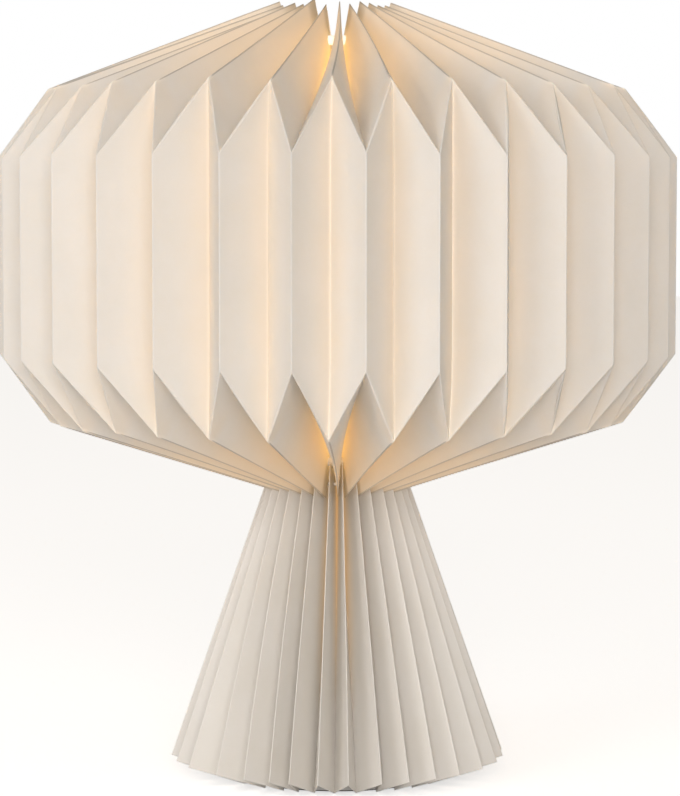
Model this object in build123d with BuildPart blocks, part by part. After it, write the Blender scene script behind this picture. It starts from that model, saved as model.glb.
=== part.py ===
# Pleated paper table lamp. A folded paper shade rests on a pleated paper foot,
# and lifts off it for changing the bulb. The foot hides a steel plate with a stem
# that carries the lamp holder. Millimetres, +Z up, z = 0 on the table, back at +Y.
from build123d import *
from math import asin, cos, pi, radians, sin, sqrt, tan
import os

os.makedirs("parts", exist_ok=True)

# ---- Driving dimensions ----

# Folded paper
paper_thickness = 0.4
pleat_count = 32
strip_width = 34.3  # from one fold to the next, measured on the flat sheet
paper_gap = 0.3  # between the paper and what it rests on or goes round

# Shade
shade_ridge_radius = 200.0
shade_band_height = 115.0  # length of the upright ridges
upper_crease_rise = 40.0  # how far the reverse folds run on from a ridge to a hollow
lower_crease_rise = 39.0
upper_slope = 19.9  # degrees from level of the shade's roof
lower_slope = 17.8  # degrees from level of its floor
upper_tip_radius = 34.0
lower_tip_radius = 31.0
flex_shares = (0, 0.3, 0.65)  # from the tips, where roof and floor are flexed as the strips twist

# Foot, whose hollow folds stand on the table and meet the stem at the top
foot_radius = 68.2
foot_fold_height = 177.3
foot_flex_shares = (0, 0.5, 1)

# Cords that draw the pleats together
tie_diameter = 5.0
tie_hole_gap = 0.4  # between a cord and the punched slots
cord_sides = 8
tie_edge_distance = 6.5  # from the shade's cut edge to the middle of its cords
tie_share = 0.6  # where across the strip the shade's cords run, from the tip
foot_tie_diameter = 2.0
foot_tie_distance = 8.0  # from the foot's cut edge to the middle of its cord
foot_tie_share = 0.5  # where across the strip it runs, from the hollow

# Plate, pad and stem
pad_thickness = 1.0
pad_border = 2.0
plate_thickness = 10.0
plate_chamfer = 0.6
pocket_radius = 16.0
pocket_depth = 6.5
stem_diameter = 10.0
stem_bore = 7.0
stem_fit = 0.05  # between the stem and what is screwed on it
stem_top = 222.0
washer_radius = 10.0
washer_thickness = 1.0
nut_flats = 14.0
nut_thickness = 3.0

# Inlet for the mains lead, in a groove under the plate
inlet_bore = 5.2
inlet_wall = 1.0
inlet_height = 4.9
inlet_length = 9.0
inlet_flange_radius = 4.2
inlet_flange_thickness = 1.2
groove_gap = 0.1

# Lamp holder
holder_radius = 14.0
holder_wall = 1.5
holder_neck_radius = 8.0
holder_neck_height = 5.0
holder_thread_depth = 9.0
holder_flare_height = 12.0
holder_ledge_height = 14.0
holder_ledge = 2.0
holder_cap_height = 20.0
holder_shell_height = 30.0
holder_mouth_radius = 9.4
core_thickness = 9.0
core_gap = 0.2
wire_hole_radius = 1.4
wire_hole_offset = 4.0
sleeve_wall = 0.35
sleeve_length = 17.0
sleeve_flange_radius = 9.0
contact_width = 4.0
contact_thickness = 0.5
contact_rise = 3.0
contact_reach = 5.5
contact_top_length = 3.0
terminal_radius = 1.5
terminal_length = 6.0
terminal_head_radius = 2.2
terminal_head_height = 1.4
terminal_offset = 8.0
screw_hole_gap = 0.05
cap_screw_radius = 1.5
cap_screw_length = 3.4
cap_screw_height = 2.5

# Bulb
screw_cap_radius = 6.95
screw_cap_length = 17.0
screw_cap_gap = 0.05  # between the screw cap and the holder's sleeve
screw_cap_wall = 0.4
tip_radius = 3.3
tip_height = 3.0
tip_gap = 0.3  # between the tip and the holder's middle contact
housing_neck_radius = 8.2
housing_neck_height = 5.0
housing_flare_height = 11.0
housing_radius = 13.6
housing_height = 24.0
housing_wall = 1.6
glass_wall = 1.0
glass_length = 58.0
glass_chamfer = 3.0
glass_seat_gap = 0.1
glass_seat = 3.0

# ---- Values that follow ----

half_pleat = pi / pleat_count
stem_radius = stem_diameter / 2
tie_radius = tie_diameter / 2
foot_tie_radius = foot_tie_diameter / 2
plate_bottom = pad_thickness
plate_top = plate_bottom + plate_thickness

# The upright ridges and the foot's ridges lie in ridge planes, one of which faces
# straight back. A hollow plane lies half a pleat from it.
ridge_plane = Plane(origin=(0, 0, 0), x_dir=(0, 1, 0), z_dir=(1, 0, 0))
hollow_plane = Plane(
    origin=(0, 0, 0),
    x_dir=(sin(half_pleat), cos(half_pleat), 0),
    z_dir=(cos(half_pleat), -sin(half_pleat), 0),
)
next_hollow_plane = Plane(
    origin=(0, 0, 0),
    x_dir=(-sin(half_pleat), cos(half_pleat), 0),
    z_dir=(cos(half_pleat), sin(half_pleat), 0),
)


def direction(start, end):
    """Unit vector from start to end, both (radius, height)."""
    length = sqrt((end[0] - start[0]) ** 2 + (end[1] - start[1]) ** 2)
    return ((end[0] - start[0]) / length, (end[1] - start[1]) / length)


def moved(point, way, distance):
    """A point (radius, height) moved by a distance along a unit vector."""
    return (point[0] + way[0] * distance, point[1] + way[1] * distance)


def along(start, end, share):
    """The point at a share of the way from start to end."""
    return (start[0] + (end[0] - start[0]) * share, start[1] + (end[1] - start[1]) * share)


def fold_beside(fold, way):
    """The next fold of the sheet: a strip's width away, seen in its own radial plane."""
    distance = sqrt(strip_width**2 - (fold[0] * sin(half_pleat)) ** 2)
    return (fold[0] * cos(half_pleat) + way[0] * distance, fold[1] + way[1] * distance)


def fold_depth(opposite_radius):
    """Depth of the paper in a fold's radial plane, with the strip's other fold at this radius."""
    lean = asin(opposite_radius * sin(half_pleat) / strip_width)
    return paper_thickness / sin(lean + asin(paper_thickness / strip_width))


def other_side(folds, way, opposite_folds):
    """Points on a fold's line, taken through the paper to its other side."""
    return [moved(point, way, fold_depth(opposite[0])) for point, opposite in zip(folds, opposite_folds)]


def facets_between(hollow_line, ridge_line):
    """Flat facets of paper between a line in the hollow plane and one in the ridge plane."""
    hollow = [hollow_plane.from_local_coords(point) for point in hollow_line]
    ridge = [ridge_plane.from_local_coords(point) for point in ridge_line]
    facets = []
    for low, high in zip(range(len(hollow) - 1), range(1, len(hollow))):
        facets.append(Face(Wire.make_polygon([hollow[low], hollow[high], ridge[low]])))
        facets.append(Face(Wire.make_polygon([hollow[high], ridge[high], ridge[low]])))
    return facets


def folded_strip(hollow_outer, hollow_inner, ridge_outer, ridge_inner):
    """Half a pleat of paper, from its lines in the hollow plane to those in the ridge plane."""
    skin = facets_between(hollow_outer, ridge_outer) + facets_between(hollow_inner, ridge_inner)
    for end in (0, -1):
        skin += facets_between([hollow_outer[end], hollow_inner[end]], [ridge_outer[end], ridge_inner[end]])
    for plane, outer, inner in (
        (hollow_plane, hollow_outer, hollow_inner),
        (ridge_plane, ridge_outer, ridge_inner),
    ):
        outline = [plane.from_local_coords(point) for point in outer + inner[::-1]]
        skin.append(Face(Wire.make_polygon(outline)))
    return Solid(Shell(skin))


# ---- Foot: folds ----

foot_hollow_low = (foot_radius, 0)
foot_hollow_high = (stem_radius + paper_gap, foot_fold_height)
foot_climb = direction(foot_hollow_low, foot_hollow_high)
foot_outward = (foot_climb[1], -foot_climb[0])
foot_ridge_low = fold_beside(foot_hollow_low, foot_outward)
foot_ridge_high = fold_beside(foot_hollow_high, foot_outward)
foot_tie_start = along(foot_hollow_high, foot_ridge_high, foot_tie_share)
foot_tie_point = moved(foot_tie_start, foot_climb, -foot_tie_distance)

# The shade's lower cord rests on the cut edges at the top of the foot.
cut_edge = direction(foot_hollow_high, foot_ridge_high)


# ---- Shade: folds ----

upper_inward = (-cos(radians(upper_slope)), sin(radians(upper_slope)))
lower_inward = (-cos(radians(lower_slope)), -sin(radians(lower_slope)))
upper_across = (-upper_inward[1], upper_inward[0])
lower_across = (lower_inward[1], -lower_inward[0])

# From the lower tips: their cord, then the height at which that cord rests on the foot.
lower_end_step = fold_beside((lower_tip_radius, 0), lower_across)
lower_cord_start = along((lower_tip_radius, 0), lower_end_step, tie_share)
lower_cord_step = moved(lower_cord_start, lower_inward, -tie_edge_distance)
seat_height = foot_hollow_high[1] + (lower_cord_step[0] - foot_hollow_high[0]) * cut_edge[1] / cut_edge[0]
lower_cord_height = seat_height + (tie_radius + paper_gap) / cut_edge[0]
lower_tip = (lower_tip_radius, lower_cord_height - lower_cord_step[1])
lower_end = fold_beside(lower_tip, lower_across)
lower_cord = (lower_cord_step[0], lower_cord_height)

hollow_radius = fold_beside((shade_ridge_radius, 0), (-1, 0))[0]
hollow_low = (hollow_radius, lower_tip[1] + (hollow_radius - lower_tip_radius) * tan(radians(lower_slope)))
ridge_low = (shade_ridge_radius, hollow_low[1] + lower_crease_rise)
ridge_high = (shade_ridge_radius, ridge_low[1] + shade_band_height)
hollow_high = (hollow_radius, ridge_high[1] + upper_crease_rise)
upper_tip = (
    upper_tip_radius,
    hollow_high[1] + (hollow_radius - upper_tip_radius) * tan(radians(upper_slope)),
)
upper_end = fold_beside(upper_tip, upper_across)
upper_cord = moved(along(upper_tip, upper_end, tie_share), upper_inward, -tie_edge_distance)

hollow_band_depth = fold_depth(shade_ridge_radius)
ridge_band_depth = fold_depth(hollow_radius)
upper_valley_slope = direction(ridge_high, upper_end)
lower_valley_slope = direction(ridge_low, lower_end)
upper_valley_outward = (upper_valley_slope[1], -upper_valley_slope[0])
lower_valley_outward = (-lower_valley_slope[1], lower_valley_slope[0])
upper_hollow_fold = [along(upper_tip, hollow_high, share) for share in reversed(flex_shares)]
upper_ridge_fold = [along(upper_end, ridge_high, share) for share in reversed(flex_shares)]
lower_hollow_fold = [along(lower_tip, hollow_low, share) for share in flex_shares]
lower_ridge_fold = [along(lower_end, ridge_low, share) for share in flex_shares]


# ---- Pleated shade ----
# One folded sheet. Its upright folds turn inside out at slanting creases, so that a ridge
# of the band runs on as a valley of the roof and of the floor, and a hollow as a ridge.

band_outer_radius = hollow_radius + hollow_band_depth
band_inner_radius = shade_ridge_radius - ridge_band_depth
shade_hollow_outer = [
    *lower_hollow_fold,
    (band_outer_radius, hollow_low[1] + hollow_band_depth * tan(radians(lower_slope))),
    (band_outer_radius, hollow_high[1] - hollow_band_depth * tan(radians(upper_slope))),
    *upper_hollow_fold,
]
shade_hollow_inner = [
    *other_side(lower_hollow_fold, lower_across, lower_ridge_fold),
    (hollow_radius, hollow_low[1] + ridge_band_depth / cos(radians(lower_slope))),
    (hollow_radius, hollow_high[1] - ridge_band_depth / cos(radians(upper_slope))),
    *other_side(upper_hollow_fold, upper_across, upper_ridge_fold),
]
shade_ridge_outer = [
    *other_side(lower_ridge_fold, lower_valley_outward, lower_hollow_fold),
    (shade_ridge_radius, ridge_low[1] + hollow_band_depth / lower_valley_slope[0]),
    (shade_ridge_radius, ridge_high[1] - hollow_band_depth / upper_valley_slope[0]),
    *other_side(upper_ridge_fold, upper_valley_outward, upper_hollow_fold),
]
shade_ridge_inner = [
    *lower_ridge_fold,
    (band_inner_radius, ridge_low[1] - ridge_band_depth * lower_valley_slope[1] / lower_valley_slope[0]),
    (band_inner_radius, ridge_high[1] - ridge_band_depth * upper_valley_slope[1] / upper_valley_slope[0]),
    *upper_ridge_fold,
]

with BuildPart() as shade_pleat:
    add(folded_strip(shade_hollow_outer, shade_hollow_inner, shade_ridge_outer, shade_ridge_inner))
    # Punched slots for the two cords
    with BuildSketch(ridge_plane):
        with Locations(lower_cord, upper_cord):
            Rectangle(tie_diameter + 2 * tie_hole_gap, tie_diameter + 2 * tie_hole_gap)
    extrude(amount=strip_width, both=True, mode=Mode.SUBTRACT)
    mirror(about=hollow_plane)

with BuildPart() as pleated_shade:
    with PolarLocations(0, pleat_count):
        add(shade_pleat.part)
pleated_shade.part.label = "pleated_shade"
export_step(pleated_shade.part, "parts/pleated_shade.step")


# ---- Pleated foot ----
# A second folded sheet, gathered round the stem at the top and open at the bottom.

foot_inward = (-foot_outward[0], -foot_outward[1])
foot_hollow_fold = [along(foot_hollow_low, foot_hollow_high, share) for share in foot_flex_shares]
foot_ridge_fold = [along(foot_ridge_low, foot_ridge_high, share) for share in foot_flex_shares]

with BuildPart() as foot_pleat:
    add(
        folded_strip(
            other_side(foot_hollow_fold, foot_outward, foot_ridge_fold),
            foot_hollow_fold,
            foot_ridge_fold,
            other_side(foot_ridge_fold, foot_inward, foot_hollow_fold),
        )
    )
    with BuildSketch(ridge_plane):
        with Locations(foot_tie_point):
            Rectangle(foot_tie_diameter + 2 * tie_hole_gap, foot_tie_diameter + 2 * tie_hole_gap)
    extrude(amount=strip_width, both=True, mode=Mode.SUBTRACT)
    mirror(about=hollow_plane)

with BuildPart() as pleated_foot:
    with PolarLocations(0, pleat_count):
        add(foot_pleat.part)
pleated_foot.part.label = "pleated_foot"
export_step(pleated_foot.part, "parts/pleated_foot.step")


# ---- Cords through the folded sheets ----
# Each runs straight from one hollow plane to the next through the punched slots, and
# draws the pleats together: one at each end of the shade, one at the top of the foot.

tie_runs = {
    "shade_upper_tie": (upper_cord, tie_radius),
    "shade_lower_tie": (lower_cord, tie_radius),
    "foot_tie": (foot_tie_point, foot_tie_radius),
}
for tie_name, (tie_point, cord_radius) in tie_runs.items():
    with BuildPart() as cord_run:
        for end_plane in (hollow_plane, next_hollow_plane):
            with BuildSketch(end_plane):
                with Locations(tie_point):
                    RegularPolygon(cord_radius, cord_sides, major_radius=False)
        loft(ruled=True)
    with BuildPart() as tie:
        with PolarLocations(0, pleat_count):
            add(cord_run.part)
    tie.part.label = tie_name
    export_step(tie.part, f"parts/{tie_name}.step")


# ---- Foot plate ----
# Steel disc inside the foot, which weighs the lamp down and keeps the folds centred.

fold_lean = foot_climb[0] / foot_climb[1]
plate_radius = foot_radius + plate_top * fold_lean - paper_gap / foot_climb[1]
inlet_radius = inlet_bore / 2 + inlet_wall
groove_radius = inlet_radius + groove_gap

with BuildPart() as foot_plate:
    with BuildSketch(Plane.XY.offset(plate_bottom)):
        Circle(plate_radius)
        Circle(stem_radius + stem_fit, mode=Mode.SUBTRACT)
    extrude(amount=plate_thickness)
    chamfer(foot_plate.faces().sort_by(Axis.Z)[-1].outer_wire().edges(), plate_chamfer)
    with BuildSketch(Plane.XY.offset(plate_bottom)):
        Circle(pocket_radius)
    extrude(amount=pocket_depth, mode=Mode.SUBTRACT)
    # Groove for the lead, from the pocket to the back of the rim, open towards the table
    with BuildSketch(Plane.XZ):
        with Locations((0, inlet_height)):
            Circle(groove_radius)
        with Locations((0, inlet_height / 2)):
            Rectangle(2 * groove_radius, inlet_height)
    extrude(amount=-plate_radius, mode=Mode.SUBTRACT)
foot_plate.part.label = "foot_plate"
export_step(foot_plate.part, "parts/foot_plate.step")


# ---- Felt pad ----

with BuildPart() as foot_pad:
    with BuildSketch():
        Circle(plate_radius - pad_border)
    extrude(amount=pad_thickness)
foot_pad.part.label = "foot_pad"
export_step(foot_pad.part, "parts/foot_pad.step")


# ---- Cable inlet ----
# Bush in the groove's mouth, with a flange outside the rim.

inlet_face = Plane(
    origin=(0, plate_radius + inlet_flange_thickness, inlet_height),
    x_dir=(1, 0, 0),
    z_dir=(0, -1, 0),
)
with BuildPart() as cable_inlet:
    with BuildSketch(inlet_face):
        Circle(inlet_flange_radius)
    extrude(amount=inlet_flange_thickness)
    with BuildSketch(inlet_face):
        Circle(inlet_radius)
    extrude(amount=inlet_length)
    with BuildSketch(inlet_face):
        Circle(inlet_bore / 2)
    extrude(amount=inlet_length, mode=Mode.SUBTRACT)
cable_inlet.part.label = "cable_inlet"
export_step(cable_inlet.part, "parts/cable_inlet.step")


# ---- Stem ----
# Threaded pipe, screwed into the plate and locked with a nut and washer on top of it.
# Its lower end opens into the pocket, where the lead comes in.

stem_bottom = plate_bottom + pocket_depth
with BuildPart() as stem:
    with BuildSketch(Plane.XY.offset(stem_bottom)):
        Circle(stem_radius)
        Circle(stem_bore / 2, mode=Mode.SUBTRACT)
    extrude(amount=stem_top - stem_bottom)
stem.part.label = "stem"
export_step(stem.part, "parts/stem.step")

with BuildPart() as stem_washer:
    with BuildSketch(Plane.XY.offset(plate_top)):
        Circle(washer_radius)
        Circle(stem_radius + stem_fit, mode=Mode.SUBTRACT)
    extrude(amount=washer_thickness)
stem_washer.part.label = "stem_washer"
export_step(stem_washer.part, "parts/stem_washer.step")

holder_bottom = stem_top - holder_thread_depth
nut_seats = {
    "stem_nut": plate_top + washer_thickness,
    "holder_nut": holder_bottom - nut_thickness,
}
for nut_name, nut_bottom in nut_seats.items():
    with BuildPart() as nut:
        with BuildSketch(Plane.XY.offset(nut_bottom)):
            RegularPolygon(nut_flats / 2, 6, major_radius=False)
            Circle(stem_radius + stem_fit, mode=Mode.SUBTRACT)
        extrude(amount=nut_thickness)
    nut.part.label = nut_name
    export_step(nut.part, f"parts/{nut_name}.step")


# ---- Holder cap ----
# Lower half of the lamp holder, screwed on the stem and kept from turning by a set screw.

holder_inner_radius = holder_radius - holder_wall
cap_rim = holder_bottom + holder_cap_height
ledge = holder_bottom + holder_ledge_height
screw_axis = Plane(origin=(0, 0, holder_bottom + cap_screw_height), x_dir=(0, 1, 0), z_dir=(1, 0, 0))
with BuildPart() as holder_cap:
    with BuildSketch(Plane.XZ):
        with BuildLine():
            Polyline(
                (stem_radius + stem_fit, holder_bottom),
                (holder_neck_radius, holder_bottom),
                (holder_neck_radius, holder_bottom + holder_neck_height),
                (holder_radius, holder_bottom + holder_flare_height),
                (holder_radius, cap_rim),
                (holder_inner_radius, cap_rim),
                (holder_inner_radius, ledge),
                (holder_inner_radius - holder_ledge, ledge),
                (holder_inner_radius - holder_ledge, stem_top),
                (stem_radius + stem_fit, stem_top),
                close=True,
            )
        make_face()
    revolve(axis=Axis.Z)
    with BuildSketch(screw_axis):
        Circle(cap_screw_radius + screw_hole_gap)
    extrude(amount=holder_radius, mode=Mode.SUBTRACT)
holder_cap.part.label = "holder_cap"
export_step(holder_cap.part, "parts/holder_cap.step")

with BuildPart() as cap_screw:
    with BuildSketch(screw_axis.offset(stem_radius + stem_fit)):
        Circle(cap_screw_radius)
    extrude(amount=cap_screw_length)
cap_screw.part.label = "cap_screw"
export_step(cap_screw.part, "parts/cap_screw.step")


# ---- Holder core ----
# Insulating disc on the cap's ledge, with holes for the two wires and the terminals.

core_top = ledge + core_thickness
with BuildPart() as holder_core:
    with BuildSketch(Plane.XY.offset(ledge)):
        Circle(holder_inner_radius - core_gap)
    extrude(amount=core_thickness)
    with BuildSketch(Plane.XY.offset(ledge)):
        with Locations((0, wire_hole_offset), (0, -wire_hole_offset)):
            Circle(wire_hole_radius)
    extrude(amount=core_thickness / 2, mode=Mode.SUBTRACT)
    with BuildSketch(Plane.XY.offset(ledge)):
        with Locations((terminal_offset, 0), (-terminal_offset, 0)):
            Circle(terminal_radius + screw_hole_gap)
    extrude(amount=terminal_length, mode=Mode.SUBTRACT)
holder_core.part.label = "holder_core"
export_step(holder_core.part, "parts/holder_core.step")

with BuildPart() as terminal_screws:
    with BuildSketch(Plane.XY.offset(ledge - terminal_head_height)):
        with Locations((terminal_offset, 0), (-terminal_offset, 0)):
            Circle(terminal_head_radius)
    extrude(amount=terminal_head_height)
    with BuildSketch(Plane.XY.offset(ledge)):
        with Locations((terminal_offset, 0), (-terminal_offset, 0)):
            Circle(terminal_radius)
    extrude(amount=terminal_length)
terminal_screws.part.label = "terminal_screws"
export_step(terminal_screws.part, "parts/terminal_screws.step")


# ---- Holder shell ----

with BuildPart() as holder_shell:
    with BuildSketch(Plane.XY.offset(cap_rim)):
        Circle(holder_radius)
        Circle(holder_inner_radius, mode=Mode.SUBTRACT)
    extrude(amount=holder_shell_height - holder_wall)
    with BuildSketch(Plane.XY.offset(cap_rim + holder_shell_height - holder_wall)):
        Circle(holder_radius)
        Circle(holder_mouth_radius, mode=Mode.SUBTRACT)
    extrude(amount=holder_wall)
    chamfer(holder_shell.faces().sort_by(Axis.Z)[-1].outer_wire().edges(), holder_wall / 2)
holder_shell.part.label = "holder_shell"
export_step(holder_shell.part, "parts/holder_shell.step")


# ---- Contacts ----
# Screw sleeve on a flange, and a leaf that presses on the bulb's tip.

sleeve_radius = screw_cap_radius + screw_cap_gap
with BuildPart() as contact_sleeve:
    with BuildSketch(Plane.XY.offset(core_top)):
        Circle(sleeve_flange_radius)
        Circle(sleeve_radius, mode=Mode.SUBTRACT)
    extrude(amount=sleeve_wall)
    with BuildSketch(Plane.XY.offset(core_top)):
        Circle(sleeve_radius + sleeve_wall)
        Circle(sleeve_radius, mode=Mode.SUBTRACT)
    extrude(amount=sleeve_length)
contact_sleeve.part.label = "contact_sleeve"
export_step(contact_sleeve.part, "parts/contact_sleeve.step")

contact_top = core_top + contact_rise + contact_thickness
with BuildPart() as centre_contact:
    with BuildSketch(Plane.XZ):
        with BuildLine():
            Polyline(
                (-contact_reach, core_top),
                (-contact_reach / 2, core_top),
                (0, core_top + contact_rise),
                (contact_top_length, core_top + contact_rise),
                (contact_top_length, contact_top),
                (-contact_thickness / 2, contact_top),
                (-contact_reach / 2 - contact_thickness / 2, core_top + contact_thickness),
                (-contact_reach, core_top + contact_thickness),
                close=True,
            )
        make_face()
    extrude(amount=contact_width / 2, both=True)
centre_contact.part.label = "centre_contact"
export_step(centre_contact.part, "parts/centre_contact.step")


# ---- Bulb ----
# Small screw cap with its tip, a plastic housing and a tube of opal glass.

tip_bottom = contact_top + tip_gap
screw_cap_bottom = tip_bottom + tip_height
screw_cap_top = screw_cap_bottom + screw_cap_length
housing_top = screw_cap_top + housing_height
glass_bottom = housing_top - glass_seat
glass_seat_radius = housing_radius - housing_wall

with BuildPart() as bulb_tip:
    with BuildSketch(Plane.XY.offset(tip_bottom)):
        Circle(tip_radius)
    extrude(amount=tip_height)
    chamfer(bulb_tip.faces().sort_by(Axis.Z)[0].edges(), tip_height / 3)
bulb_tip.part.label = "bulb_tip"
export_step(bulb_tip.part, "parts/bulb_tip.step")

with BuildPart() as bulb_screw_cap:
    with BuildSketch(Plane.XY.offset(screw_cap_bottom)):
        Circle(screw_cap_radius)
    extrude(amount=screw_cap_length)
    with BuildSketch(Plane.XY.offset(screw_cap_bottom + screw_cap_wall)):
        Circle(screw_cap_radius - screw_cap_wall)
    extrude(amount=screw_cap_length - screw_cap_wall, mode=Mode.SUBTRACT)
bulb_screw_cap.part.label = "bulb_screw_cap"
export_step(bulb_screw_cap.part, "parts/bulb_screw_cap.step")

with BuildPart() as bulb_housing:
    with BuildSketch(Plane.XZ):
        with BuildLine():
            Polyline(
                (housing_neck_radius - housing_wall, screw_cap_top),
                (housing_neck_radius, screw_cap_top),
                (housing_neck_radius, screw_cap_top + housing_neck_height),
                (housing_radius, screw_cap_top + housing_flare_height),
                (housing_radius, housing_top),
                (glass_seat_radius, housing_top),
                (glass_seat_radius, glass_bottom),
                (housing_neck_radius - housing_wall, glass_bottom),
                close=True,
            )
        make_face()
    revolve(axis=Axis.Z)
bulb_housing.part.label = "bulb_housing"
export_step(bulb_housing.part, "parts/bulb_housing.step")

glass_radius = glass_seat_radius - glass_seat_gap

with BuildPart() as bulb_glass:
    with BuildSketch(Plane.XY.offset(glass_bottom)):
        Circle(glass_radius)
    extrude(amount=glass_length)
    chamfer(bulb_glass.faces().sort_by(Axis.Z)[-1].edges(), glass_chamfer)
    with BuildSketch(Plane.XY.offset(glass_bottom + glass_wall)):
        Circle(glass_radius - glass_wall)
    extrude(amount=glass_length - glass_chamfer - 2 * glass_wall, mode=Mode.SUBTRACT)
bulb_glass.part.label = "bulb_glass"
export_step(bulb_glass.part, "parts/bulb_glass.step")
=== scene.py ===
# Pleated paper table lamp: a folded shade that rests on a pleated foot, with the lamp
# holder and its lit bulb inside. Metres, +Z up, z = 0 on the table, the front at -Y.
import math

import bpy
import numpy as np
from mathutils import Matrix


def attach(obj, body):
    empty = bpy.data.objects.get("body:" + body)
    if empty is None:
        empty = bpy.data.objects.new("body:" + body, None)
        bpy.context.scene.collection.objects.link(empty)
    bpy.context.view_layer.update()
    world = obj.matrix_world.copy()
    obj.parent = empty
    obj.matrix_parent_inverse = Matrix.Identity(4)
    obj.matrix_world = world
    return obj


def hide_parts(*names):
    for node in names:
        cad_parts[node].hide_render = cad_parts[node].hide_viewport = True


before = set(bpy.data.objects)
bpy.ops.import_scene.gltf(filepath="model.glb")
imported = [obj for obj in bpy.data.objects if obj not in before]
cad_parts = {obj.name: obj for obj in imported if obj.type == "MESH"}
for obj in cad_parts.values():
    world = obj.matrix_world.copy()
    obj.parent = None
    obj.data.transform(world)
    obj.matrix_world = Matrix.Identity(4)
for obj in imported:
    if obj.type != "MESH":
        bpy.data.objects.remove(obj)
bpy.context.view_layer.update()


# ---- Camera ----
# Long lens a little above the middle of the shade, turned slightly to the lamp's left,
# as the folds' corners in the photograph place it.

camera_azimuth = math.radians(-4.42)
camera_distance = 1.6852
camera_height = 0.3444
camera_tilt = math.radians(4.07)
camera_sideways = 0.00162

camera = bpy.data.objects.new("camera", bpy.data.cameras.new("camera"))
camera.data.lens = 128.09
camera.data.sensor_width = 36.0
camera.location = (
    camera_distance * math.sin(camera_azimuth) + camera_sideways * math.cos(camera_azimuth),
    -camera_distance * math.cos(camera_azimuth) + camera_sideways * math.sin(camera_azimuth),
    camera_height,
)
camera.rotation_euler = (math.pi / 2 - camera_tilt, 0.0, camera_azimuth)
bpy.context.collection.objects.link(camera)
bpy.context.scene.camera = camera


# ---- Folded shade ----
# One sheet of warm white paper in 32 pleats. Its upright folds turn inside out at slanting
# creases, and run on to the middle at the top and at the bottom, where cords hold them.

pleats = 32
strip_width = 0.0343
paper_thickness = 0.0004
shade_ridge = ((0.0204, 0.2004), (0.2000, 0.2518), (0.2000, 0.3668), (0.0222, 0.4242))
shade_hollow = ((0.0310, 0.1678), (0.1709, 0.2128), (0.1709, 0.4068), (0.0340, 0.4563))
paper_colour = (0.935, 0.902, 0.856)
paper_deep_colour = (0.915, 0.875, 0.81)
paper_line_colour = (0.95, 0.93, 0.90)
# Painted warm shade and a painted shadow line along the folds, mixed into the paper's colour.
painted_warm_shade_colour = (0.80, 0.62, 0.40)
painted_fold_shadow_colour = (0.50, 0.45, 0.40)
# Colours of painted glows: emission on the paper that stands in for the lamp's light.
amber_light = (1.0, 0.58, 0.09)
tan_light = (1.0, 0.72, 0.40)
cream_light = (1.0, 0.92, 0.78)
paper_passing = 0.12
rounding = 0.8


def add_node(tree, kind, options=None, **constants):
    """Adds a shader node, with its options and the constants on its own sockets."""
    node = tree.nodes.new(kind)
    for option, value in (options or {}).items():
        setattr(node, option, value)
    for socket, value in constants.items():
        node.inputs[socket.replace("_", " ")].default_value = value
    return node


def math_node(tree, operation, first, second=None, third=None):
    """A Math node. Each of its inputs is a socket to link or a constant; returns its output."""
    node = tree.nodes.new("ShaderNodeMath")
    node.operation = operation
    for place, value in enumerate((first, second, third)):
        if isinstance(value, bpy.types.NodeSocket):
            tree.links.new(value, node.inputs[place])
        elif value is not None:
            node.inputs[place].default_value = value
    return node.outputs[0]


def new_group(name, inputs, outputs):
    """A node group with these sockets; returns the group, its input node and output node."""
    group = bpy.data.node_groups.new(name, "ShaderNodeTree")
    for socket, kind in inputs:
        group.interface.new_socket(socket, in_out="INPUT", socket_type=kind)
    for socket, kind in outputs:
        group.interface.new_socket(socket, in_out="OUTPUT", socket_type=kind)
    return group, group.nodes.new("NodeGroupInput"), group.nodes.new("NodeGroupOutput")


def smooth_step(tree, value, none_at, full_at):
    """A smooth mask that goes from 0 where the value is none_at to 1 where it is full_at."""
    step = add_node(tree, "ShaderNodeMapRange", {"interpolation_type": "SMOOTHSTEP"})
    step.inputs["From Min"].default_value = none_at
    step.inputs["From Max"].default_value = full_at
    tree.links.new(value, step.inputs["Value"])
    return step.outputs["Result"]


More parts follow.
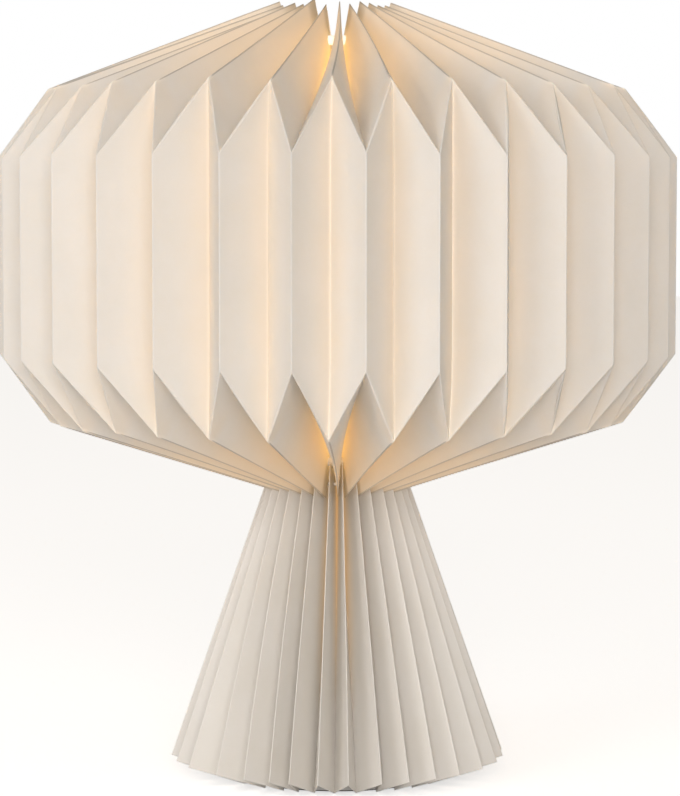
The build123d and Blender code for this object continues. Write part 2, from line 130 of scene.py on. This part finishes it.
def make_paper_group():
    """Paper seen close: soft mottling and fibres by place, and how near a fold is.

    Place is in metres. Strips counts the strips round the sheet, so that a whole number
    is a fold; Width is a strip's width in metres.
    """
    group, given, result = new_group(
        "paper_surface",
        [("Place", "NodeSocketVector"), ("Strips", "NodeSocketFloat"), ("Width", "NodeSocketFloat")],
        [
            ("Mottle", "NodeSocketFloat"), ("Height", "NodeSocketFloat"), ("Fold", "NodeSocketFloat"),
            ("Ridge distance", "NodeSocketFloat"), ("Hollow distance", "NodeSocketFloat"),
            ("Radius", "NodeSocketFloat"), ("Level", "NodeSocketFloat"),
        ],
    )
    mottle = add_node(group, "ShaderNodeTexNoise", Scale=38.0, Detail=3.0, Roughness=0.6)
    fibres = add_node(group, "ShaderNodeTexNoise", Scale=900.0, Detail=4.0, Roughness=0.65)
    tooth = add_node(group, "ShaderNodeTexNoise", Scale=2600.0, Detail=2.0)
    for texture in (mottle, fibres, tooth):
        group.links.new(given.outputs["Place"], texture.inputs["Vector"])
    spread = math_node(group, "MULTIPLY", mottle.outputs["Fac"], 0.7)
    total = math_node(group, "MULTIPLY_ADD", fibres.outputs["Fac"], 0.3, spread)
    group.links.new(total, result.inputs["Mottle"])
    height = math_node(group, "MULTIPLY_ADD", tooth.outputs["Fac"], 0.4, fibres.outputs["Fac"])
    group.links.new(height, result.inputs["Height"])
    near = math_node(group, "ABSOLUTE", math_node(group, "WRAP", given.outputs["Strips"], 0.5, -0.5))
    distance = math_node(group, "MULTIPLY", near, given.outputs["Width"])
    group.links.new(smooth_step(group, distance, 0.0009, 0.0003), result.inputs["Fold"])
    from_ridge = math_node(group, "ABSOLUTE", math_node(group, "WRAP", given.outputs["Strips"], 1.0, -1.0))
    ridge_distance = math_node(group, "MULTIPLY", from_ridge, given.outputs["Width"])
    hollow_distance = math_node(group, "SUBTRACT", given.outputs["Width"], ridge_distance)
    group.links.new(ridge_distance, result.inputs["Ridge distance"])
    group.links.new(hollow_distance, result.inputs["Hollow distance"])
    split = add_node(group, "ShaderNodeSeparateXYZ")
    group.links.new(given.outputs["Place"], split.inputs["Vector"])
    depth_square = math_node(group, "MULTIPLY", split.outputs["Y"], split.outputs["Y"])
    radius_square = math_node(group, "MULTIPLY_ADD", split.outputs["X"], split.outputs["X"], depth_square)
    group.links.new(math_node(group, "SQRT", radius_square), result.inputs["Radius"])
    group.links.new(split.outputs["Z"], result.inputs["Level"])
    return group


paper_group = make_paper_group()


def add_glow(tree, colour, strength):
    """An emission of this colour, as strong as the strength socket says; returns its shader."""
    glow = add_node(tree, "ShaderNodeEmission", Color=(*colour, 1.0))
    tree.links.new(strength, glow.inputs["Strength"])
    return glow.outputs["Emission"]


def make_paper(name, line_share, make_glows):
    """Matt paper that lets a share of the light pass, with paler lines along its folds,
    partly burnished wear and partly a painted highlight where the rounded fold catches light.

    line_share is how much these lines show. make_glows gets the tree and the paper_surface
    node, and returns the shaders of painted glows that stand in for the lamp's own light
    coming through the folds, a mask of painted warm shade where light is thrown to and fro
    between the folds, and a mask of a painted shadow line along the folds.
    """
    material = bpy.data.materials.new(name)
    material.use_nodes = True
    tree = material.node_tree
    tree.nodes.clear()
    place = add_node(tree, "ShaderNodeTexCoord")
    sheet = add_node(tree, "ShaderNodeUVMap", {"uv_map": "sheet"})
    split = add_node(tree, "ShaderNodeSeparateXYZ")
    tree.links.new(sheet.outputs["UV"], split.inputs["Vector"])
    surface = add_node(tree, "ShaderNodeGroup", {"node_tree": paper_group}, Width=strip_width)
    tree.links.new(place.outputs["Object"], surface.inputs["Place"])
    tree.links.new(split.outputs["X"], surface.inputs["Strips"])
    tone = add_node(tree, "ShaderNodeMix", {"data_type": "RGBA"})
    tone.inputs[6].default_value = (*paper_deep_colour, 1.0)
    tone.inputs[7].default_value = (*paper_colour, 1.0)
    spread = add_node(tree, "ShaderNodeMapRange")
    spread.inputs["From Min"].default_value = 0.28
    spread.inputs["From Max"].default_value = 0.62
    tree.links.new(surface.outputs["Mottle"], spread.inputs["Value"])
    tree.links.new(spread.outputs["Result"], tone.inputs[0])
    # Paler lines along the folds: partly burnished wear, partly a painted highlight.
    wear_and_highlight = add_node(tree, "ShaderNodeMix", {"data_type": "RGBA"})
    wear_and_highlight.inputs[7].default_value = (*paper_line_colour, 1.0)
    tree.links.new(tone.outputs[2], wear_and_highlight.inputs[6])
    tree.links.new(math_node(tree, "MULTIPLY", surface.outputs["Fold"], line_share), wear_and_highlight.inputs[0])
    glows, painted_warm_shade, painted_fold_shadow = make_glows(tree, surface)
    # Painted warm shade: the colour is mixed towards a darker tan between the folds.
    warm = add_node(tree, "ShaderNodeMix", {"data_type": "RGBA"})
    warm.inputs[7].default_value = (*painted_warm_shade_colour, 1.0)
    tree.links.new(wear_and_highlight.outputs[2], warm.inputs[6])
    tree.links.new(painted_warm_shade, warm.inputs[0])
    # Painted shadow line along the folds.
    dark = add_node(tree, "ShaderNodeMix", {"data_type": "RGBA"})
    dark.inputs[7].default_value = (*painted_fold_shadow_colour, 1.0)
    tree.links.new(warm.outputs[2], dark.inputs[6])
    tree.links.new(painted_fold_shadow, dark.inputs[0])
    bump = add_node(tree, "ShaderNodeBump", Strength=0.12, Distance=0.0002)
    tree.links.new(surface.outputs["Height"], bump.inputs["Height"])
    face = add_node(tree, "ShaderNodeBsdfPrincipled", Roughness=0.72, Specular_IOR_Level=0.18)
    through = add_node(tree, "ShaderNodeBsdfTranslucent")
    mixed = add_node(tree, "ShaderNodeMixShader", Fac=paper_passing)
    for shader in (face, through):
        tree.links.new(bump.outputs["Normal"], shader.inputs["Normal"])
    tree.links.new(dark.outputs[2], face.inputs["Base Color"])
    tree.links.new(dark.outputs[2], through.inputs["Color"])
    tree.links.new(face.outputs["BSDF"], mixed.inputs[1])
    tree.links.new(through.outputs["BSDF"], mixed.inputs[2])
    total = mixed.outputs["Shader"]
    for glow in glows:
        both = add_node(tree, "ShaderNodeAddShader")
        tree.links.new(total, both.inputs[0])
        tree.links.new(glow, both.inputs[1])
        total = both.outputs["Shader"]
    output = add_node(tree, "ShaderNodeOutputMaterial")
    tree.links.new(total, output.inputs["Surface"])
    return material


def folded_sheet(name, folds, along, crease_rows, bow):
    """A sheet folded along lines that go round a ring, as a mesh object.

    folds is an array (fold, row, xyz) of points on the fold lines. Between neighbouring
    lines the paper runs straight across, and swells by bow (fold, row) times the sine of
    the share of the way across, along the paper's normal. Points on a fold or on a
    creased row move most of the way to the middle of their neighbours, which rounds them.
    The sheet's own map counts strips round the ring, and metres along it.
    """
    across = np.array([0.0, 0.006, 0.016, 0.2, 0.4, 0.6, 0.8, 0.984, 0.994])
    following = np.roll(folds, -1, axis=0)
    share = across[None, :, None, None]
    points = folds[:, None] * (1.0 - share) + following[:, None] * share
    direction = np.gradient((folds + following) / 2.0, axis=1)
    normal = np.cross(following - folds, direction)
    normal /= np.linalg.norm(normal, axis=2, keepdims=True)
    swell = np.sin(np.pi * share) * bow[:, None, :, None]
    points = points + normal[:, None] * swell
    points = points.reshape(-1, folds.shape[1], 3)
    on_fold = np.arange(0, len(points), len(across))
    middle = (points[on_fold - 1] + points[on_fold + 1]) / 2.0
    points[on_fold] += rounding * (middle - points[on_fold])
    for row in crease_rows:
        middle = (points[:, row - 1] + points[:, row + 1]) / 2.0
        points[:, row] += rounding * (middle - points[:, row])
    columns, rows = points.shape[:2]
    start = np.arange(columns)[:, None] * rows + np.arange(rows - 1)[None, :]
    beside = (np.arange(columns)[:, None] + 1) % columns * rows + np.arange(rows - 1)[None, :]
    quads = np.stack([start, beside, beside + 1, start + 1], axis=2).reshape(-1, 4)
    mesh = bpy.data.meshes.new(name)
    mesh.vertices.add(columns * rows)
    mesh.vertices.foreach_set("co", points.ravel())
    mesh.loops.add(quads.size)
    mesh.loops.foreach_set("vertex_index", quads.ravel())
    mesh.polygons.add(len(quads))
    mesh.polygons.foreach_set("loop_start", np.arange(0, quads.size, 4))
    mesh.polygons.foreach_set("use_smooth", np.ones(len(quads), dtype=bool))
    strips = (np.arange(len(folds))[:, None] + across[None, :]).ravel()
    strips_after = np.append(strips[1:], len(folds))
    left = np.broadcast_to(strips[:, None], (columns, rows - 1))
    right = np.broadcast_to(strips_after[:, None], (columns, rows - 1))
    low = np.broadcast_to(along[None, :-1], (columns, rows - 1))
    high = np.broadcast_to(along[None, 1:], (columns, rows - 1))
    corners = np.stack([left, low, right, low, right, high, left, high], axis=2)
    mesh.uv_layers.new(name="sheet").data.foreach_set("uv", corners.ravel())
    mesh.update()
    mesh.validate()
    sheet = bpy.data.objects.new(name, mesh)
    bpy.context.collection.objects.link(sheet)
    wall = sheet.modifiers.new("paper_thickness", "SOLIDIFY")
    wall.thickness = paper_thickness
    wall.offset = 0.0
    return sheet


def on_circle(radius, height, azimuth):
    """Points at this radius and height, turned from the front (-Y) towards +X."""
    return np.stack([radius * np.sin(azimuth), -radius * np.cos(azimuth), height], axis=-1)


def fold_line(corners, shares):
    """Radius and height along a line through these corners; shares gives each run's stations."""
    runs = [
        [[low + (high - low) * share for low, high in zip(start, end)] for share in stations]
        for start, end, stations in zip(corners[:-1], corners[1:], shares)
    ]
    return np.array([point for run in runs for point in run])


even = [step / 12 for step in range(1, 12)]
shade_shares = (
    [0.0] + even + [0.993, 0.9975, 1.0],
    [0.0035, 0.009] + even + [0.991, 0.9965, 1.0],
    [0.0025, 0.007] + even + [1.0],
)
shade_ridge_line = fold_line(shade_ridge, shade_shares)
shade_hollow_line = fold_line(shade_hollow, shade_shares)
shade_creases = (len(shade_shares[0]) - 1, len(shade_shares[0]) + len(shade_shares[1]) - 1)

# Each fold wanders a little from its even place, most at its ends near the middle.
wander = np.random.default_rng(11)
fold_count = 2 * pleats
shade_lines = np.where(
    (np.arange(fold_count) % 2 == 0)[:, None, None], shade_ridge_line[None], shade_hollow_line[None]
)
towards_top = np.clip((shade_lines[..., 1] - 0.37) / 0.08, 0.0, 1.0)
towards_bottom = np.clip((0.25 - shade_lines[..., 1]) / 0.07, 0.0, 1.0)
shade_turn = (
    wander.normal(0.0, 0.0012, (fold_count, 1))
    + wander.normal(0.0, 0.013, (fold_count, 1)) * towards_top
    + wander.normal(0.0, 0.013, (fold_count, 1)) * towards_bottom
)
# The front folds lean aside towards their ends, in radians, by their number from the front.
front_top_turn = {-5: 0.02, -3: 0.01, -1: 0.051, 1: 0.051, 3: 0.030, 5: 0.020}
over_roof = np.clip((shade_lines[..., 1] - 0.41) / 0.046, 0.0, 1.0)
for fold, turn in front_top_turn.items():
    shade_turn[fold] += turn * over_roof[fold]
front_floor_turn = {-1: 0.045, 1: -0.030}
under_floor = np.clip((0.213 - shade_lines[..., 1]) / 0.045, 0.0, 1.0)
for fold, turn in front_floor_turn.items():
    shade_turn[fold] += turn * under_floor[fold]
shade_rise = (
    wander.normal(0.0, 0.0004, (fold_count, 1))
    + wander.normal(0.0, 0.0008, (fold_count, 1)) * towards_top
)
shade_azimuth = np.arange(fold_count)[:, None] * math.pi / pleats + shade_turn
shade_folds = on_circle(shade_lines[..., 0], shade_lines[..., 1] + shade_rise, shade_azimuth)
steps = np.linalg.norm(np.diff(shade_ridge_line, axis=0), axis=1)
shade_along = np.concatenate([[0.0], np.cumsum(steps)])
shade_swell = np.sin(np.linspace(0.0, np.pi, len(shade_along)))[None]
shade_bow = wander.normal(0.0001, 0.0004, (fold_count, 1)) * shade_swell


def shade_glows(tree, surface):
    """Painted glows that stand in for the lamp's light in the folds of the shade.

    Amber low between the sloping folds near the middle, a little tan over the whole roof
    and underside, and cream at the upright hollow folds. It also returns painted warm shade
    over the roof, the underside and the upright hollows, and a painted shadow line along the
    raised folds of the roof and underside. Distances and radii in metres.
    """
    near_middle = smooth_step(tree, surface.outputs["Radius"], 0.130, 0.022)
    low = smooth_step(tree, surface.outputs["Ridge distance"], 0.028, 0.0)
    seam = smooth_step(tree, surface.outputs["Ridge distance"], 0.006, 0.0)
    square = math_node(tree, "MULTIPLY", near_middle, near_middle)
    amber = math_node(tree, "MULTIPLY", math_node(tree, "MULTIPLY", square, low), 0.19)
    amber = math_node(tree, "MULTIPLY_ADD", math_node(tree, "MULTIPLY", near_middle, seam), 0.20, amber)
    sunk = smooth_step(tree, surface.outputs["Radius"], 0.168, 0.085)
    tan = math_node(tree, "MULTIPLY", sunk, 0.10)
    underside = smooth_step(tree, surface.outputs["Level"], 0.250, 0.225)
    # Painted warm shade over the roof, more of it on the underside.
    warm_shade_share = math_node(tree, "MULTIPLY_ADD", underside, 0.15, 0.25)
    upright = smooth_step(tree, surface.outputs["Radius"], 0.160, 0.170)
    wide = smooth_step(tree, surface.outputs["Hollow distance"], 0.024, 0.0)
    line = smooth_step(tree, surface.outputs["Hollow distance"], 0.0026, 0.0)
    cream = math_node(tree, "MULTIPLY_ADD", line, 0.10, math_node(tree, "MULTIPLY", wide, 0.03))
    # A painted shadow line along the raised folds of the roof and underside.
    raised = smooth_step(tree, surface.outputs["Hollow distance"], 0.0009, 0.0004)
    sloping = smooth_step(tree, surface.outputs["Radius"], 0.170, 0.166)
    painted_fold_shadow = math_node(tree, "MULTIPLY", math_node(tree, "MULTIPLY", raised, sloping), 0.75)
    # Painted warm shade in the upright hollows.
    between = math_node(tree, "MULTIPLY", math_node(tree, "MULTIPLY", wide, upright), 0.22)
    painted_warm_shade = math_node(tree, "MULTIPLY_ADD", sunk, warm_shade_share, between)
    glows = (
        add_glow(tree, amber_light, amber),
        add_glow(tree, tan_light, tan),
        add_glow(tree, cream_light, math_node(tree, "MULTIPLY", cream, upright)),
    )
    return glows, painted_warm_shade, painted_fold_shadow


shade_paper = make_paper("shade_paper", 0.5, shade_glows)
shade = folded_sheet("folded_shade", shade_folds, shade_along, shade_creases, shade_bow)
shade.data.materials.append(shade_paper)
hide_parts("pleated_shade")
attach(shade, "shade")


# ---- Folded foot ----
# A second sheet of the same paper, gathered round the stem at the top. Its hollow folds
# stand on the table. At the front the raised folds are bunched a little towards the middle.

foot_hollow = ((0.0682, 0.0002), (0.0055, 0.1773))
foot_ridge = ((0.09958, 0.01125), (0.0376, 0.18877))
# Colour of the painted amber glow in the foot's hollow folds.
foot_light = (1.0, 0.64, 0.26)
# Where the thirteen raised folds at the front stand on the table, in degrees.
front_azimuths = [
    -65.2, -48.5, -36.3, -26.9, -20.3, -10.8, -0.8, 10.3, 19.8, 30.0, 40.7, 54.0, 67.0,
]

foot_shares = ([0.0, 0.004, 0.012] + even + [0.99, 0.996, 1.0],)
foot_ridge_line = fold_line(foot_ridge, foot_shares)
foot_hollow_line = fold_line(foot_hollow, foot_shares)
pleat_turn = 2.0 * math.pi / pleats
ridge_numbers = np.arange(-6, 7)
shift = np.radians(front_azimuths) - ridge_numbers * pleat_turn
half_round = pleats // 2
known_numbers = [-half_round, -10, *ridge_numbers, 10, half_round]
known_shifts = [0.0, 0.0, *shift, 0.0, 0.0]
ridge_shift = np.interp(np.arange(-half_round, half_round), known_numbers, known_shifts)
ridge_shift = np.roll(ridge_shift, half_round)
hollow_shift = (ridge_shift + np.roll(ridge_shift, -1)) / 2.0
table_shift = np.stack([ridge_shift, hollow_shift], axis=1).reshape(-1, 1)
foot_lines = np.where(
    (np.arange(fold_count) % 2 == 0)[:, None, None], foot_ridge_line[None], foot_hollow_line[None]
)
foot_down = np.clip(1.0 - foot_lines[..., 1] / 0.18, 0.0, 1.0)
foot_turn = table_shift * foot_down + wander.normal(0.0, 0.006, (fold_count, 1)) * (1.0 - foot_down)
foot_azimuth = np.arange(fold_count)[:, None] * math.pi / pleats + foot_turn
foot_folds = on_circle(foot_lines[..., 0], foot_lines[..., 1], foot_azimuth)
steps = np.linalg.norm(np.diff(foot_ridge_line, axis=0), axis=1)
foot_along = np.concatenate([[0.0], np.cumsum(steps)])
foot_swell = np.sin(np.linspace(0.0, np.pi, len(foot_along)))[None]
foot_bow = wander.normal(0.0, 0.0003, (fold_count, 1)) * foot_swell


def foot_glows(tree, surface):
    """Painted amber glow in the hollow folds, strongest at the top, where the folds are close
    together, with painted warm shade there and a painted shadow line along the hollow folds.
    """
    near_middle = smooth_step(tree, surface.outputs["Radius"], 0.062, 0.010)
    low = smooth_step(tree, surface.outputs["Hollow distance"], 0.022, 0.0)
    amber = math_node(tree, "MULTIPLY", math_node(tree, "MULTIPLY", near_middle, low), 0.11)
    # Painted warm shade in the hollow folds near the top.
    painted_warm_shade = math_node(tree, "MULTIPLY", math_node(tree, "MULTIPLY", near_middle, low), 0.45)
    # A painted shadow line along the hollow folds.
    hollow_fold_shadow = smooth_step(tree, surface.outputs["Hollow distance"], 0.0008, 0.0003)
    painted_fold_shadow = math_node(tree, "MULTIPLY", hollow_fold_shadow, 0.5)
    return (add_glow(tree, foot_light, amber),), painted_warm_shade, painted_fold_shadow


foot_paper = make_paper("foot_paper", 0.1, foot_glows)
foot = folded_sheet("folded_foot", foot_folds, foot_along, (), foot_bow)
foot.data.materials.append(foot_paper)
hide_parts("pleated_foot")
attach(foot, "base")


# ---- Cords ----
# White twisted cotton, threaded through the punched slots and drawn tight. Only the
# upper one shows, in the gaps between the folds.


def set_material(node_name, material):
    """Gives a CAD node's object this material in place of its own."""
    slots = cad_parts[node_name].data.materials
    slots.clear()
    slots.append(material)


def make_solid(
    name, colour, second_colour, scale, roughness, metallic=0.0, bump_distance=0.0001, stretch=(1, 1, 1)
):
    """A solid material of two near tones, mixed by noise, which also roughens it."""
    material = bpy.data.materials.new(name)
    material.use_nodes = True
    tree = material.node_tree
    face = tree.nodes["Principled BSDF"]
    place = add_node(tree, "ShaderNodeTexCoord")
    mapping = add_node(tree, "ShaderNodeMapping", Scale=stretch)
    noise = add_node(tree, "ShaderNodeTexNoise", Scale=scale, Detail=4.0, Roughness=0.6)
    tone = add_node(tree, "ShaderNodeMix", {"data_type": "RGBA"})
    tone.inputs[6].default_value = (*colour, 1.0)
    tone.inputs[7].default_value = (*second_colour, 1.0)
    bump = add_node(tree, "ShaderNodeBump", Strength=0.25, Distance=bump_distance)
    dull = math_node(tree, "MULTIPLY_ADD", noise.outputs["Fac"], 0.2, roughness - 0.1)
    tree.links.new(place.outputs["Object"], mapping.inputs["Vector"])
    tree.links.new(mapping.outputs["Vector"], noise.inputs["Vector"])
    tree.links.new(noise.outputs["Fac"], tone.inputs[0])
    tree.links.new(noise.outputs["Fac"], bump.inputs["Height"])
    tree.links.new(tone.outputs[2], face.inputs["Base Color"])
    tree.links.new(dull, face.inputs["Roughness"])
    tree.links.new(bump.outputs["Normal"], face.inputs["Normal"])
    face.inputs["Metallic"].default_value = metallic
    return material


cord_twist = 0.0004
cord_cotton = make_solid(
    "cord", (0.92, 0.90, 0.86), (0.74, 0.71, 0.66), 700.0, 0.85, bump_distance=cord_twist
)
for tie in ("shade_lower_tie", "foot_tie"):
    set_material(tie, cord_cotton)
# The upper cord hangs over the lit bulb: its emission is a painted glow of the bulb's light shining through
# it.
lit_cotton = make_solid(
    "cord_over_bulb", (0.95, 0.94, 0.91), (0.82, 0.80, 0.76), 700.0, 0.85, bump_distance=cord_twist
)
lit_face = lit_cotton.node_tree.nodes["Principled BSDF"]
lit_face.inputs["Emission Color"].default_value = (1.0, 0.95, 0.86, 1.0)
lit_face.inputs["Emission Strength"].default_value = 0.55
set_material("shade_upper_tie", lit_cotton)


# ---- Plate, pad and inlet ----
# A powder-coated steel disc weighs the foot down. Under it is a felt pad, and in its rim
# a plastic bush for the mains lead.

painted_steel = make_solid("painted_steel", (0.72, 0.70, 0.66), (0.66, 0.64, 0.60), 1400.0, 0.55)
felt = make_solid("felt", (0.16, 0.15, 0.14), (0.07, 0.065, 0.06), 1800.0, 0.95, bump_distance=0.0006)
bush_plastic = make_solid("bush_plastic", (0.70, 0.68, 0.64), (0.66, 0.64, 0.60), 900.0, 0.5)
set_material("foot_plate", painted_steel)
set_material("foot_pad", felt)
set_material("cable_inlet", bush_plastic)


# ---- Stem, nuts and screws ----
# Zinc-plated steel with fine turning marks.

turning_marks = (1, 1, 14)
zinc = make_solid(
    "zinc_steel", (0.66, 0.66, 0.64), (0.50, 0.50, 0.49), 120.0, 0.36, metallic=1.0, stretch=turning_marks
)
for steel_piece in ("stem", "stem_washer", "stem_nut", "holder_nut", "cap_screw", "terminal_screws"):
    set_material(steel_piece, zinc)


# ---- Lamp holder ----
# White moulded plastic halves round an unglazed ceramic disc with brass contacts.

holder_plastic = make_solid("holder_plastic", (0.80, 0.78, 0.74), (0.74, 0.72, 0.68), 700.0, 0.45)
for moulded in ("holder_cap", "holder_shell"):
    set_material(moulded, holder_plastic)
core_ceramic = make_solid("core_ceramic", (0.80, 0.76, 0.68), (0.72, 0.68, 0.60), 500.0, 0.8)
set_material("holder_core", core_ceramic)
brass = make_solid("contact_brass", (0.80, 0.58, 0.26), (0.66, 0.46, 0.20), 160.0, 0.3, metallic=1.0)
for contact in ("contact_sleeve", "centre_contact"):
    set_material(contact, brass)


# ---- Bulb ----
# Bright metal screw cap and tip, a satin plastic housing, and a lit opal glass of warm
# white light, paler in the middle than at its rim.

bulb_metal = make_solid("bulb_metal", (0.80, 0.80, 0.78), (0.68, 0.68, 0.66), 200.0, 0.28, metallic=1.0)
for bright in ("bulb_tip", "bulb_screw_cap"):
    set_material(bright, bulb_metal)
bulb_plastic = make_solid("bulb_plastic", (0.86, 0.84, 0.80), (0.82, 0.80, 0.76), 600.0, 0.4)
set_material("bulb_housing", bulb_plastic)

glow_colour = (1.0, 0.66, 0.28)
glow_strength = 480.0
rim_loss = 0.35
opal = bpy.data.materials.new("opal_glass")
opal.use_nodes = True
opal_tree = opal.node_tree
opal_face = opal_tree.nodes["Principled BSDF"]
opal_face.inputs["Base Color"].default_value = (0.95, 0.90, 0.82, 1.0)
opal_face.inputs["Roughness"].default_value = 0.35
opal_face.inputs["Emission Color"].default_value = (*glow_colour, 1.0)
edge = add_node(opal_tree, "ShaderNodeLayerWeight", Blend=0.4)
lit = math_node(opal_tree, "MULTIPLY_ADD", edge.outputs["Facing"], -rim_loss * glow_strength, glow_strength)
opal_tree.links.new(lit, opal_face.inputs["Emission Strength"])
set_material("bulb_glass", opal)


# ---- Studio ----
# A pale floor and a white surround. Soft daylight from the front, a little from the left,
# and a narrow spot for the foot, which stands in the shade's shadow.

floor_half = 8.0
floor_brightening = 0.62
corners = [(-floor_half, -floor_half, 0.0), (floor_half, -floor_half, 0.0)]
corners += [(floor_half, floor_half, 0.0), (-floor_half, floor_half, 0.0)]
floor_mesh = bpy.data.meshes.new("floor")
floor_mesh.from_pydata(corners, [], [(0, 1, 2, 3)])
floor = bpy.data.objects.new("floor", floor_mesh)
bpy.context.collection.objects.link(floor)
floor_material = bpy.data.materials.new("floor")
floor_material.use_nodes = True
floor_tree = floor_material.node_tree
floor_tree.nodes.clear()
floor_face = add_node(floor_tree, "ShaderNodeBsdfDiffuse", Color=(0.92, 0.92, 0.92, 1.0))
floor_lift = add_node(floor_tree, "ShaderNodeEmission", Color=(1.0, 1.0, 1.0, 1.0))
floor_paths = add_node(floor_tree, "ShaderNodeLightPath")
floor_sum = add_node(floor_tree, "ShaderNodeAddShader")
floor_output = add_node(floor_tree, "ShaderNodeOutputMaterial")
brightening = math_node(floor_tree, "MULTIPLY", floor_paths.outputs["Is Camera Ray"], floor_brightening)
floor_tree.links.new(brightening, floor_lift.inputs["Strength"])
floor_tree.links.new(floor_face.outputs["BSDF"], floor_sum.inputs[0])
floor_tree.links.new(floor_lift.outputs["Emission"], floor_sum.inputs[1])
floor_tree.links.new(floor_sum.outputs["Shader"], floor_output.inputs["Surface"])
floor_mesh.materials.append(floor_material)

world = bpy.data.worlds.new("studio")
world.use_nodes = True
bpy.context.scene.world = world
world_tree = world.node_tree
world_tree.nodes.clear()
paths = add_node(world_tree, "ShaderNodeLightPath")
seen = add_node(world_tree, "ShaderNodeBackground", Color=(1.0, 1.0, 1.0, 1.0), Strength=1.0)
ambient = add_node(world_tree, "ShaderNodeBackground", Color=(1.0, 0.92, 0.82, 1.0), Strength=0.32)
chosen = add_node(world_tree, "ShaderNodeMixShader")
world_output = add_node(world_tree, "ShaderNodeOutputWorld")
world_tree.links.new(paths.outputs["Is Camera Ray"], chosen.inputs["Fac"])
world_tree.links.new(ambient.outputs["Background"], chosen.inputs[1])
world_tree.links.new(seen.outputs["Background"], chosen.inputs[2])
world_tree.links.new(chosen.outputs["Shader"], world_output.inputs["Surface"])


def place_lamp(lamp, azimuth, elevation, distance, aim_height):
    """Stands a lamp at this azimuth, elevation and distance, aimed at this height on the axis."""
    turn, lift = math.radians(azimuth), math.radians(elevation)
    holder = bpy.data.objects.new(lamp.name, lamp)
    holder.location = (
        distance * math.cos(lift) * math.sin(turn),
        -distance * math.cos(lift) * math.cos(turn),
        aim_height + distance * math.sin(lift),
    )
    holder.rotation_euler = (math.pi / 2 - lift, 0.0, turn)
    bpy.context.collection.objects.link(holder)


def new_softbox(name, size, power, colour):
    """A square area lamp of this size in metres and power in watts."""
    lamp = bpy.data.lights.new(name, "AREA")
    lamp.size = size
    lamp.energy = power
    lamp.color = colour
    return lamp


daylight = (1.0, 0.99, 0.99)
place_lamp(new_softbox("key", 1.6, 18.5, daylight), -46.0, 14.0, 3.0, 0.30)
place_lamp(new_softbox("fill", 1.4, 36.5, daylight), -3.0, 14.0, 3.2, 0.24)

foot_spot = bpy.data.lights.new("foot_spot", "SPOT")
foot_spot.energy = 66.0
foot_spot.spot_size = math.radians(6.4)
foot_spot.spot_blend = 0.6
foot_spot.shadow_soft_size = 0.16
place_lamp(foot_spot, -6.0, 3.0, 2.0, 0.080)

bpy.context.scene.view_settings.view_transform = "Standard"
bpy.context.scene.view_settings.look = "None"
